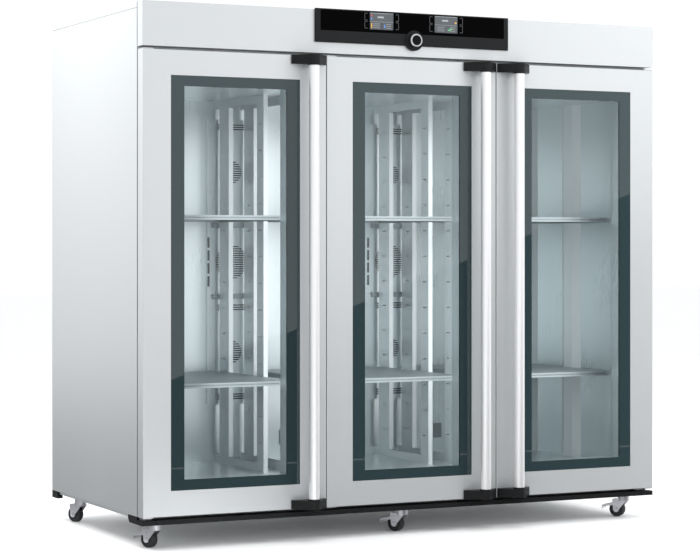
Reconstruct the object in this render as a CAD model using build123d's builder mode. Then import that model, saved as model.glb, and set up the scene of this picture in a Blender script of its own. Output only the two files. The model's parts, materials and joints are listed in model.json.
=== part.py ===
from build123d import *
import os

# Three-door environmental test chamber on six castors.
# Millimetres, +Z up, +X to the right of someone facing the doors, +Y into the cabinet.
# The origin lies on the floor, below the middle of the whole object.

# Overall body
body_width = 2157.0
body_depth = 997.0
body_top = 1946.0
rear_cover_depth = 31.0
sheet = 1.5
frame_sheet = 4.0

# Levels above the floor
rail_bottom = 91.0
rail_top = 108.0
base_bottom = 107.0
casing_bottom = 119.0
door_bottom = 120.4
door_top = 1775.2
header_bottom = 1786.8
side_top = 1924.5
cover_skirt_bottom = 1925.7

# Doors
door_count = 3
door_gap = 3.0
door_depth = 50.0
door_edge_radius = 2.0
window_width = 504.5
window_height = 1475.3
clear_width = 401.0
clear_height = 1399.7
window_centre_above_door_bottom = 827.55
pane_thickness = 6.0
pane_recess = 1.0
pane_edge_play = 0.5
window_lip = 9.0
plug_width = 510.0
plug_height = 1414.0
door_reach_inside = 60.0
gasket_width = 24.0
gasket_outer_width = 664.0
gasket_outer_height = 1580.0
body_gap = 6.0
seal_play = 0.3

# Pivot hinges
pin_radius = 4.0
pin_length = 14.0
pin_from_edge = 14.0
pin_from_front = 8.5
running_play = 0.05
hinge_plate = 3.0
hinge_plate_width = 38.0
hinge_plate_inset = 2.0
hinge_play = 0.3
boss_height = 20.0
boss_width = 25.0
boss_depth = 16.0

# Bar handles
bar_radius = 20.0
bar_wall = 2.0
bar_standoff = 50.0
bar_from_edge = 72.0
end_width = 138.0
end_foot = 9.0
end_height = 33.0
nose_height = 39.0
nose_radius = 22.0
bar_seat_play = 0.1
bar_end_cover = 6.0

# Chamber
chamber_width = 1973.0
chamber_floor = 210.0
chamber_ceiling = 1660.0
chamber_back = 900.0
mullion_width = 110.0

# Shelf uprights and shelves
upright_thickness = 18.0
upright_depth_front = 62.0
upright_depth_rear = 96.0
upright_front_y = 426.0
upright_rear_y = 765.0
upright_wall = 1.5
upright_pair_pitch = 108.0
beam_height = 30.0
slot_pitch = 102.4
slot_width = 30.0
slot_height = 4.0
slot_count = 13
rail_flare = 41.0
shelf_front_y = 150.0
shelf_back_y = 842.0
shelf_levels = [578.0, 1192.0]
shelf_sheet = 1.5
shelf_flange = 17.0
shelf_side_play = 5.0
runner_foot = 13.0
runner_height = 14.0
runner_front_y = 190.0

# Air duct cover and fans
duct_depth = 15.0
duct_width = 929.0
duct_bottom = 440.0
duct_top = 1588.0
louvre_pitch = 9.0
louvre_height = 4.5
small_grille_radius = 45.0
large_grille_radius = 69.0
outlet_width = 122.0
small_grille_levels = [651.0, 1377.0]
large_grille_level = 1015.0
outlet_levels = [471.0, 831.0, 1190.0, 1559.0]
outlet_rows = 3
fan_hole_radius = 95.0
impeller_radius = 82.0
impeller_hub_radius = 14.0
impeller_bore_play = 0.05
impeller_depth = 26.0
impeller_disc = 2.0
blade_count = 10
blade_thickness = 2.0
fan_shaft_radius = 4.0
motor_radius = 48.0
motor_flange_radius = 62.0

# Control panel in the header
panel_width = 816.0
panel_bottom = 1826.6
panel_top = 1950.2
panel_reach = 9.5
glass_width = 777.0
glass_bottom = 1870.0
glass_top = 1946.0
glass_depth = 1.5
screen_width = 99.0
screen_height = 63.0
screen_offset = 136.5
screen_level = 1912.5
knob_level = 1846.8
knob_boss_radius = 38.0
knob_boss_reach = 2.5
knob_ring_radius = 25.0
knob_ring_inner = 19.0
knob_ring_reach = 17.7
knob_button_radius = 18.7
knob_spindle_radius = 4.0
knob_play = 0.3
knob_web = 4.0

# Castors
wheel_radius = 30.0
wheel_width = 28.0
wheel_hub_radius = 10.0
wheel_dish = 4.0
wheel_tread = 8.0
axle_radius = 4.0
castor_trail = 25.0
castor_side_inset = 80.0
castor_front_y = 90.0
castor_rear_y = 890.0
kingpin_radius = 5.0
race_radius = 23.0
race_bottom = 70.4
crown_top = 70.0
crown_thickness = 6.0
leg_thickness = 3.0
leg_play = 1.5
plate_thickness = 4.0
plate_length = 100.0
plate_width = 85.0
plate_bolt_radius = 4.5
brake_pin_radius = 3.0
brake_play = 0.3

# Where the depth begins: the handles stand furthest forward, the rear cover furthest back.
handle_reach = bar_standoff + nose_radius
front_y = handle_reach - (handle_reach + body_depth + rear_cover_depth) / 2
rear_y = front_y + body_depth
frame_y = front_y + door_depth + body_gap
half_width = body_width / 2
door_pitch = body_width / door_count
door_width = door_pitch - door_gap
door_height = door_top - door_bottom
door_middle = (door_top + door_bottom) / 2
window_middle = door_bottom + window_centre_above_door_bottom
mullion_positions = [-door_pitch / 2, door_pitch / 2]
fan_positions = mullion_positions

os.makedirs("parts", exist_ok=True)


def facing(depth):
    """Upright plane seen from the front, at a depth behind the doors' front plane."""
    return Plane.XZ.offset(-(front_y + depth))


def save(builder, name):
    builder.part.label = name
    export_step(builder.part, f"parts/{name}.step")


# The base: a folded tray, a black plinth rail below the doors and four black corner caps.
tray_inset = 10.0
with BuildPart() as base_tray:
    with BuildSketch(Plane.XY.offset(base_bottom)):
        with Locations((0, (frame_y + frame_sheet + rear_y - tray_inset) / 2)):
            Rectangle(body_width - 2 * tray_inset, rear_y - tray_inset - frame_y - frame_sheet)
    extrude(amount=casing_bottom - base_bottom)
    offset(amount=-sheet, openings=base_tray.faces().sort_by(Axis.Z)[-1])
save(base_tray, "base_tray")

cap_width = 22.0
cap_front_width = 52.0
rail_recess = 3.0
rail_depth = 31.0
rail_flange = 3.0
cap_joint = 2.0
with BuildPart() as front_plinth_rail:
    with BuildSketch(Plane.YZ):
        with BuildLine():
            Polyline(
                (front_y + rail_recess, rail_bottom),
                (front_y + rail_recess + rail_depth, rail_bottom),
                (front_y + rail_recess + rail_depth, base_bottom),
                (frame_y, base_bottom),
                (frame_y, base_bottom + rail_flange),
                (front_y + rail_recess + rail_depth, base_bottom + rail_flange),
                (front_y + rail_recess + rail_depth, rail_top),
                (front_y + rail_recess, rail_top),
                close=True,
            )
        make_face()
    extrude(amount=half_width - cap_front_width - cap_joint, both=True)
save(front_plinth_rail, "front_plinth_rail")

front_cap_length = 143.0
front_cap_taper = 13.0
rear_cap_length = 64.0
with BuildPart() as plinth_corner_caps:
    for side in (-1, 1):
        cap_middle = side * (half_width - cap_width / 2)
        with BuildSketch(Plane.YZ.offset(cap_middle)):
            with BuildLine():
                Polyline(
                    (front_y + rail_recess, rail_bottom),
                    (front_y + rail_recess + front_cap_length - front_cap_taper, rail_bottom),
                    (front_y + rail_recess + front_cap_length, base_bottom),
                    (front_y + rail_recess, base_bottom),
                    close=True,
                )
            make_face()
        extrude(amount=cap_width / 2, both=True)
        with BuildSketch(Plane.XY.offset(rail_bottom)):
            with Locations((side * (half_width - cap_front_width / 2), front_y + rail_recess + rail_depth / 2)):
                Rectangle(cap_front_width, rail_depth)
        extrude(amount=rail_top - rail_bottom)
        with BuildSketch(Plane.YZ.offset(side * (half_width - tray_inset / 2))):
            with BuildLine():
                Polyline(
                    (frame_y, base_bottom),
                    (front_y + rail_recess + front_cap_length, base_bottom),
                    (front_y + rail_recess + front_cap_length, casing_bottom),
                    (frame_y, casing_bottom),
                    close=True,
                )
            make_face()
        extrude(amount=tray_inset / 2, both=True)
        with BuildSketch(Plane.XY.offset(rail_bottom)):
            with Locations((cap_middle, rear_y - rear_cap_length / 2)):
                Rectangle(cap_width, rear_cap_length)
        extrude(amount=base_bottom - rail_bottom)
        with BuildSketch(Plane.XY.offset(base_bottom)):
            with Locations((side * (half_width - tray_inset / 2), rear_y - rear_cap_length / 2)):
                Rectangle(tray_inset, rear_cap_length)
        extrude(amount=casing_bottom - base_bottom)
save(plinth_corner_caps, "plinth_corner_caps")

# The casing: two folded side panels, the rear panel, the top cover and the rear vent cover.
side_flange = 20.0
with BuildPart() as side_panels:
    for side in (-1, 1):
        with BuildSketch(Plane.XY.offset(casing_bottom)):
            with Locations((side * (half_width - sheet / 2), (frame_y + rear_y) / 2)):
                Rectangle(sheet, rear_y - frame_y)
        extrude(amount=side_top - casing_bottom)
        with BuildSketch(Plane.XY.offset(casing_bottom)):
            with Locations((side * (half_width - side_flange / 2), (frame_y + frame_sheet + rear_y - sheet) / 2)):
                Rectangle(side_flange, rear_y - sheet - frame_y - frame_sheet)
        extrude(amount=sheet)
save(side_panels, "side_panels")

with BuildPart() as rear_panel:
    with BuildSketch(facing(body_depth)):
        with Locations((0, (casing_bottom + body_top - sheet) / 2)):
            Rectangle(body_width - 2 * sheet, body_top - sheet - casing_bottom)
    extrude(amount=sheet)
save(rear_panel, "rear_panel")

with BuildPart() as top_cover:
    with BuildSketch(Plane.XY.offset(cover_skirt_bottom)):
        with Locations((0, (frame_y + rear_y) / 2)):
            Rectangle(body_width, rear_y - frame_y)
        with Locations((0, (frame_y + rear_y) / 2)):
            Rectangle(body_width - 2 * sheet, rear_y - frame_y, mode=Mode.SUBTRACT)
    extrude(amount=body_top - sheet - cover_skirt_bottom)
    with BuildSketch(Plane.XY.offset(body_top - sheet)):
        with Locations((0, (frame_y + rear_y) / 2)):
            Rectangle(body_width, rear_y - frame_y)
    extrude(amount=sheet)
save(top_cover, "top_cover")

vent_width = 760.0
vent_height = 300.0
vent_middle = 1730.0
vent_slot_width = 300.0
vent_slot_height = 6.0
vent_slot_pitch = 22.0
vent_slot_rows = 10
with BuildPart() as rear_vent_cover:
    with BuildSketch(facing(body_depth)):
        with Locations((0, vent_middle)):
            Rectangle(vent_width, vent_height)
    extrude(amount=-rear_cover_depth)
    chamfer(rear_vent_cover.faces().sort_by(Axis.Y)[-1].edges(), 6)
    offset(amount=-sheet, openings=rear_vent_cover.faces().sort_by(Axis.Y)[0])
    with BuildSketch(facing(body_depth + rear_cover_depth)):
        with Locations((0, vent_middle)):
            with GridLocations(vent_width / 2, vent_slot_pitch, 2, vent_slot_rows):
                SlotOverall(vent_slot_width, vent_slot_height)
    extrude(amount=2 * sheet, mode=Mode.SUBTRACT)
save(rear_vent_cover, "rear_vent_cover")

# The stainless front frame that the doors close against, with a mullion between each two doors.
side_wall = (body_width - chamber_width) / 2
opening_edges = [-chamber_width / 2]
for mullion in mullion_positions:
    opening_edges += [mullion - mullion_width / 2, mullion + mullion_width / 2]
opening_edges += [chamber_width / 2]
with BuildPart() as front_frame:
    with BuildSketch(facing(door_depth + body_gap)):
        with Locations((0, (base_bottom + body_top - sheet) / 2)):
            Rectangle(body_width - 2 * tray_inset, body_top - sheet - base_bottom)
        with Locations((0, (casing_bottom + body_top - sheet) / 2)):
            Rectangle(body_width - 2 * sheet, body_top - sheet - casing_bottom)
        for left, right in zip(opening_edges[0::2], opening_edges[1::2]):
            with Locations(((left + right) / 2, (chamber_floor + chamber_ceiling) / 2)):
                Rectangle(right - left, chamber_ceiling - chamber_floor, mode=Mode.SUBTRACT)
    extrude(amount=-frame_sheet)
save(front_frame, "front_frame")

# The header above the doors: a folded fascia held off the frame by two rails.
header_rail = 16.0
with BuildPart() as header_fascia:
    with BuildSketch(facing(0)):
        with Locations((0, (header_bottom + body_top) / 2)):
            Rectangle(body_width, body_top - header_bottom)
    extrude(amount=-door_depth)
    fillet(header_fascia.faces().sort_by(Axis.Y)[0].edges().filter_by(Axis.Z), door_edge_radius)
    offset(amount=-sheet, openings=header_fascia.faces().sort_by(Axis.Y)[-1])
    for level in (header_bottom + sheet + header_rail / 2, body_top - sheet - header_rail / 2):
        with BuildSketch(facing(sheet)):
            with Locations((0, level)):
                Rectangle(body_width - 8 * sheet, header_rail)
        extrude(amount=-(door_depth + body_gap - sheet))
save(header_fascia, "header_fascia")

# The control panel: a black housing with a round boss, its glass, two screens and the knob.
panel_middle = (panel_top + panel_bottom) / 2
panel_height = panel_top - panel_bottom
glass_height = glass_top - glass_bottom
glass_middle = (glass_top + glass_bottom) / 2
with BuildPart() as control_housing:
    with BuildSketch(facing(-panel_reach)):
        with Locations((0, panel_middle)):
            Rectangle(panel_width, panel_height)
    extrude(amount=-panel_reach)
    chamfer(control_housing.faces().sort_by(Axis.Y)[0].edges(), 2)
    with BuildSketch(facing(-panel_reach - knob_boss_reach)):
        with Locations((0, knob_level)):
            Circle(knob_boss_radius)
    extrude(amount=-panel_reach - knob_boss_reach)
    with BuildSketch(facing(-panel_reach)):
        with Locations((0, glass_middle)):
            Rectangle(glass_width, glass_height)
        with Locations((0, knob_level)):
            Circle(knob_boss_radius, mode=Mode.SUBTRACT)
    extrude(amount=-glass_depth - sheet, mode=Mode.SUBTRACT)
    with BuildSketch(facing(-panel_reach - knob_boss_reach)):
        with Locations((0, knob_level)):
            Circle(knob_spindle_radius + running_play)
    extrude(amount=-panel_reach - knob_boss_reach, mode=Mode.SUBTRACT)
save(control_housing, "control_housing")

with BuildPart() as control_glass:
    with BuildSketch(facing(-panel_reach)):
        with Locations((0, glass_middle)):
            Rectangle(glass_width - 2 * pane_edge_play, glass_height - 2 * pane_edge_play)
        with Locations((0, knob_level)):
            Circle(knob_boss_radius + pane_edge_play, mode=Mode.SUBTRACT)
    extrude(amount=-glass_depth)
save(control_glass, "control_glass")

with BuildPart() as display_screens:
    with BuildSketch(facing(-panel_reach + glass_depth)):
        with Locations((-screen_offset, screen_level), (screen_offset, screen_level)):
            Rectangle(screen_width, screen_height)
    extrude(amount=-sheet)
save(display_screens, "display_screens")

knob_face = -panel_reach - knob_boss_reach - knob_play
with BuildPart() as knob_ring:
    with BuildSketch(facing(knob_face)):
        with Locations((0, knob_level)):
            Circle(knob_ring_radius)
            Circle(knob_spindle_radius, mode=Mode.SUBTRACT)
    extrude(amount=knob_ring_reach)
    fillet(knob_ring.faces().sort_by(Axis.Y)[0].edges().sort_by(SortBy.LENGTH)[-1], 2.5)
    with BuildSketch(facing(knob_face - knob_ring_reach)):
        with Locations((0, knob_level)):
            Circle(knob_ring_inner)
    extrude(amount=-(knob_ring_reach - knob_web), mode=Mode.SUBTRACT)
    with BuildSketch(facing(knob_face - knob_web)):
        with Locations((0, knob_level)):
            Circle(knob_spindle_radius)
            Circle(knob_spindle_radius / 2, mode=Mode.SUBTRACT)
    extrude(amount=-(knob_web + panel_reach / 2))
save(knob_ring, "knob_ring")

button_travel = 1.5
button_stem = knob_web
button_reach = knob_ring_reach - knob_web - button_travel
button_seat = knob_face - knob_web - knob_play - button_travel
with BuildPart() as knob_button:
    with BuildSketch(facing(button_seat)):
        with Locations((0, knob_level)):
            Circle(knob_button_radius)
    extrude(amount=button_reach)
    chamfer(knob_button.faces().sort_by(Axis.Y)[0].edges(), 1.5)
    with BuildSketch(facing(button_seat)):
        with Locations((0, knob_level)):
            Circle(knob_spindle_radius / 2 - running_play)
    extrude(amount=-button_stem)
save(knob_button, "knob_button")

# The inner chamber: side and back walls, floor and ceiling, all in thin stainless sheet.
chamber_front = door_depth + body_gap + frame_sheet
chamber_height = chamber_ceiling - chamber_floor
chamber_middle = (chamber_ceiling + chamber_floor) / 2
with BuildPart() as liner_walls:
    for side in (-1, 1):
        with BuildSketch(Plane.XY.offset(chamber_floor)):
            with Locations((side * (chamber_width + sheet) / 2, front_y + (chamber_front + chamber_back) / 2)):
                Rectangle(sheet, chamber_back - chamber_front)
        extrude(amount=chamber_height)
    with BuildSketch(facing(chamber_back)):
        with Locations((0, chamber_middle)):
            Rectangle(chamber_width + 2 * sheet, chamber_height)
        with Locations(*[(x, large_grille_level) for x in fan_positions]):
            Circle(fan_hole_radius, mode=Mode.SUBTRACT)
    extrude(amount=-sheet)
save(liner_walls, "liner_walls")

with BuildPart() as liner_floor_and_ceiling:
    for level in (chamber_floor - sheet, chamber_ceiling):
        with BuildSketch(Plane.XY.offset(level)):
            with Locations((0, front_y + (chamber_front + chamber_back + sheet) / 2)):
                Rectangle(chamber_width + 2 * sheet, chamber_back + sheet - chamber_front)
        extrude(amount=sheet)
save(liner_floor_and_ceiling, "liner_floor_and_ceiling")

# Hollow spacers carry the liner off the tray and off the side panels.
spacer_width = 60.0
spacer_wall = 2.0
spacer_end_play = 2.0
floor_spacer_length = chamber_back - chamber_front - 2 * spacer_end_play
with BuildPart() as liner_spacers:
    floor_spacer_height = chamber_floor - sheet - base_bottom - sheet
    with BuildSketch(facing(chamber_front + spacer_end_play)):
        with Locations((0, base_bottom + sheet + floor_spacer_height / 2)):
            with GridLocations(chamber_width / 3, 0, 4, 1):
                Rectangle(spacer_width, floor_spacer_height)
            with GridLocations(chamber_width / 3, 0, 4, 1):
                Rectangle(
                    spacer_width - 2 * spacer_wall,
                    floor_spacer_height - 2 * spacer_wall,
                    mode=Mode.SUBTRACT,
                )
    extrude(amount=-floor_spacer_length)
    side_spacer_width = side_wall - 2 * sheet
    with BuildSketch(Plane.XY.offset(chamber_floor)):
        with Locations((0, front_y + (chamber_front + chamber_back) / 2)):
            with GridLocations(chamber_width + side_wall, floor_spacer_length / 2, 2, 2):
                Rectangle(side_spacer_width, spacer_width)
            with GridLocations(chamber_width + side_wall, floor_spacer_length / 2, 2, 2):
                Rectangle(
                    side_spacer_width - 2 * spacer_wall,
                    spacer_width - 2 * spacer_wall,
                    mode=Mode.SUBTRACT,
                )
    extrude(amount=chamber_height)
save(liner_spacers, "liner_spacers")

# Shelf uprights: a pair at each mullion, in two rows, tied by a beam on the floor and ceiling.
# The side walls carry flared rails at the same two depths.
upright_height = chamber_height - 2 * beam_height
upright_rows = [(upright_front_y, upright_depth_front), (upright_rear_y, upright_depth_rear)]
upright_positions = []
for mullion in mullion_positions:
    upright_positions += [mullion - upright_pair_pitch / 2, mullion + upright_pair_pitch / 2]
beam_front = upright_front_y
beam_back = chamber_back
with BuildPart() as shelf_supports:
    for x in upright_positions:
        for row_y, row_depth in upright_rows:
            with BuildSketch(Plane.XY.offset(chamber_floor + beam_height)):
                with Locations((x, front_y + row_y + row_depth / 2)):
                    Rectangle(upright_thickness, row_depth)
                    Rectangle(
                        upright_thickness - 2 * upright_wall,
                        row_depth - 2 * upright_wall,
                        mode=Mode.SUBTRACT,
                    )
            extrude(amount=upright_height)
            with BuildSketch(Plane.YZ.offset(x)):
                with Locations((front_y + row_y + row_depth / 2, chamber_middle)):
                    with GridLocations(slot_pitch, slot_pitch, 1, slot_count):
                        Rectangle(slot_width, slot_height)
            extrude(amount=upright_thickness, both=True, mode=Mode.SUBTRACT)
        for level in (chamber_floor, chamber_ceiling - beam_height):
            with BuildSketch(Plane.XY.offset(level)):
                with Locations((x, front_y + (beam_front + beam_back) / 2)):
                    Rectangle(upright_thickness, beam_back - beam_front)
                    Rectangle(
                        upright_thickness - 2 * upright_wall,
                        beam_back - beam_front - 2 * upright_wall,
                        mode=Mode.SUBTRACT,
                    )
            extrude(amount=beam_height)
    for side in (-1, 1):
        for row_y, row_depth in upright_rows:
            wall_x = side * chamber_width / 2
            face_x = wall_x - side * upright_thickness
            near = front_y + row_y
            far = near + row_depth
            with BuildSketch(Plane.XY.offset(chamber_floor)):
                with BuildLine():
                    Polyline(
                        (wall_x, near - rail_flare),
                        (face_x, near),
                        (face_x, far),
                        (wall_x, min(far + rail_flare, front_y + chamber_back)),
                        close=True,
                    )
                make_face()
            extrude(amount=chamber_height)
            with BuildSketch(Plane.XY.offset(chamber_floor)):
                with BuildLine():
                    Polyline(
                        (wall_x, near - rail_flare + 4 * sheet),
                        (face_x + side * sheet, near + sheet),
                        (face_x + side * sheet, far - sheet),
                        (wall_x, min(far + rail_flare, front_y + chamber_back) - 4 * sheet),
                        close=True,
                    )
                make_face()
            extrude(amount=chamber_height, mode=Mode.SUBTRACT)
save(shelf_supports, "shelf_supports")

# Shelves: folded sheet trays upside down, each on a pair of angle runners.
support_faces = [-chamber_width / 2 + upright_thickness]
for x in upright_positions:
    support_faces += [x - upright_thickness / 2, x + upright_thickness / 2]
support_faces += [chamber_width / 2 - upright_thickness]
shelf_bays = list(zip(support_faces[0::4], support_faces[1::4]))
with BuildPart() as shelves:
    for left, right in shelf_bays:
        for level in shelf_levels:
            middle = ((left + right) / 2, front_y + (shelf_front_y + shelf_back_y) / 2)
            width = right - left - 2 * shelf_side_play
            with BuildSketch(Plane.XY.offset(level - shelf_flange)):
                with Locations(middle):
                    Rectangle(width, shelf_back_y - shelf_front_y)
                    Rectangle(
                        width - 2 * shelf_sheet,
                        shelf_back_y - shelf_front_y - 2 * shelf_sheet,
                        mode=Mode.SUBTRACT,
                    )
            extrude(amount=shelf_flange - shelf_sheet)
            with BuildSketch(Plane.XY.offset(level - shelf_sheet)):
                with Locations(middle):
                    Rectangle(width, shelf_back_y - shelf_front_y)
            extrude(amount=shelf_sheet)
save(shelves, "shelves")

with BuildPart() as shelf_runners:
    for left, right in shelf_bays:
        for level in shelf_levels:
            for face, inward in ((left, 1), (right, -1)):
                foot_top = level - shelf_flange
                run_middle = front_y + (runner_front_y + shelf_back_y) / 2
                with BuildSketch(Plane.XY.offset(foot_top - sheet)):
                    with Locations((face + inward * runner_foot / 2, run_middle)):
                        Rectangle(runner_foot, shelf_back_y - runner_front_y)
                extrude(amount=sheet)
                with BuildSketch(Plane.XY.offset(foot_top)):
                    with Locations((face + inward * sheet / 2, run_middle)):
                        Rectangle(sheet, shelf_back_y - runner_front_y)
                extrude(amount=runner_height)
save(shelf_runners, "shelf_runners")

# The air duct cover on the back wall: round fan grilles and outlet slots cut in rows.
with BuildPart() as duct_cover:
    with BuildSketch(facing(chamber_back)):
        with Locations((0, (duct_top + duct_bottom) / 2)):
            Rectangle(duct_width, duct_top - duct_bottom)
    extrude(amount=duct_depth)
    offset(amount=-sheet, openings=duct_cover.faces().sort_by(Axis.Y)[-1])
    with BuildSketch(facing(chamber_back - duct_depth)):
        for column in fan_positions:
            grilles = [(level, small_grille_radius) for level in small_grille_levels]
            grilles.append((large_grille_level, large_grille_radius))
            for level, radius in grilles:
                row = -radius + louvre_pitch / 2
                while row < radius:
                    half_row = (radius ** 2 - row ** 2) ** 0.5
                    with Locations((column, level + row)):
                        Rectangle(2 * half_row, louvre_height)
                    row += louvre_pitch
            for level in outlet_levels:
                with Locations((column, level)):
                    with GridLocations(outlet_width, louvre_pitch, 1, outlet_rows):
                        Rectangle(outlet_width, louvre_height)
    extrude(amount=-2 * sheet, mode=Mode.SUBTRACT)
save(duct_cover, "duct_cover")

# Fans: a motor on the rear panel and an impeller on its shaft, behind each large round grille.
impeller_front = chamber_back + sheet + 2.5
impeller_back = impeller_front + impeller_depth
motor_front = impeller_back + 4.0
motor_back = body_depth - sheet
with BuildPart() as fan_motors:
    for column in fan_positions:
        with BuildSketch(facing(motor_front)):
            with Locations((column, large_grille_level)):
                Circle(motor_radius)
        extrude(amount=-(motor_back - motor_front))
        with BuildSketch(facing(motor_back - 3)):
            with Locations((column, large_grille_level)):
                Circle(motor_flange_radius)
        extrude(amount=-3)
        with BuildSketch(facing(motor_front)):
            with Locations((column, large_grille_level)):
                Circle(fan_shaft_radius)
        extrude(amount=impeller_depth)
save(fan_motors, "fan_motors")

for name, column in zip(("left", "right"), fan_positions):
    with BuildPart() as impeller:
        with BuildSketch(facing(impeller_back - impeller_disc)):
            with Locations((column, large_grille_level)):
                Circle(impeller_radius)
        extrude(amount=-impeller_disc)
        with BuildSketch(facing(impeller_front)):
            with Locations((column, large_grille_level)):
                Circle(impeller_hub_radius)
        extrude(amount=-impeller_depth)
        with BuildSketch(facing(impeller_front)):
            with Locations((column, large_grille_level)):
                with PolarLocations(impeller_radius * 0.66, blade_count, rotate=True):
                    Rectangle(impeller_radius * 0.6, blade_thickness, rotation=35)
        extrude(amount=-impeller_depth)
        with BuildSketch(facing(impeller_front)):
            with Locations((column, large_grille_level)):
                Circle(fan_shaft_radius + impeller_bore_play)
        extrude(amount=-impeller_depth, mode=Mode.SUBTRACT)
    save(impeller, f"fan_impeller_{name}")

# The refrigeration unit stands on the chamber's ceiling, inside the casing: a tray, the
# compressor can and a finned coil. The box of the controls hangs on the front frame.
unit_width = 900.0
unit_depth = 380.0
unit_middle_y = rear_y - 230.0
unit_sheet = 3.0
compressor_radius = 80.0
compressor_height = 180.0
compressor_x = -260.0
coil_x = 180.0
coil_y = rear_y - 100.0
coil_depth = 90.0
coil_height = 230.0
fin_count = 12
fin_pitch = 38.0
coil_tube_radius = 8.0
controls_width = 420.0
controls_height = 120.0
controls_depth = 90.0
with BuildPart() as refrigeration_unit:
    unit_base = chamber_ceiling + sheet
    unit_top = unit_base + unit_sheet
    with BuildSketch(Plane.XY.offset(unit_base)):
        with Locations((0, unit_middle_y)):
            Rectangle(unit_width, unit_depth)
    extrude(amount=unit_sheet)
    with BuildSketch(Plane.XY.offset(unit_top)):
        with Locations((compressor_x, unit_middle_y)):
            Circle(compressor_radius)
    extrude(amount=compressor_height)
    fillet(refrigeration_unit.faces().sort_by(Axis.Z)[-1].edges(), 30)
    with BuildSketch(Plane.XY.offset(unit_top)):
        with Locations((coil_x, coil_y)):
            with GridLocations(fin_pitch, 0, fin_count, 1):
                Rectangle(sheet, coil_depth)
    extrude(amount=coil_height)
    with BuildSketch(Plane.YZ.offset(coil_x)):
        with Locations((coil_y, unit_top + coil_height / 2)):
            with GridLocations(coil_depth / 2, coil_height / 2, 2, 2):
                Circle(coil_tube_radius)
    extrude(amount=fin_pitch * fin_count / 2, both=True)
    with BuildSketch(facing(chamber_front)):
        with Locations((0, panel_bottom)):
            Rectangle(controls_width, controls_height)
    extrude(amount=-controls_depth)
    with BuildSketch(facing(chamber_front + controls_depth)):
        with Locations((0, panel_bottom)):
            Rectangle(controls_width - 4 * sheet, controls_height - 4 * sheet)
    extrude(amount=controls_depth - 2 * sheet, mode=Mode.SUBTRACT)
save(refrigeration_unit, "refrigeration_unit")

# Hinge brackets: a plate over and one under each door's hinged corner, each with its pin.
door_centres = [-door_pitch, 0.0, door_pitch]
door_names = ["left", "middle", "right"]
hinge_sides = [-1, -1, 1]
pivot_y = front_y + pin_from_front
with BuildPart() as hinge_brackets:
    for centre, hinged in zip(door_centres, hinge_sides):
        edge = centre + hinged * door_width / 2
        pivot_x = edge - hinged * pin_from_edge
        plate_middle = edge - hinged * (hinge_plate_inset + hinge_plate_width / 2)
        plate_front = front_y + hinge_plate_inset
        for plate_low, pin_low in (
            (door_top + hinge_play, door_top + hinge_play - pin_length),
            (door_bottom - hinge_play - hinge_plate, door_bottom - hinge_play),
        ):
            with BuildSketch(Plane.XY.offset(plate_low)):
                with Locations((plate_middle, (plate_front + frame_y) / 2)):
                    Rectangle(hinge_plate_width, frame_y - plate_front)
            extrude(amount=hinge_plate)
            with BuildSketch(Plane.XY.offset(pin_low)):
                with Locations((pivot_x, pivot_y)):
                    Circle(pin_radius)
            extrude(amount=pin_length)
save(hinge_brackets, "hinge_brackets")

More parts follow.
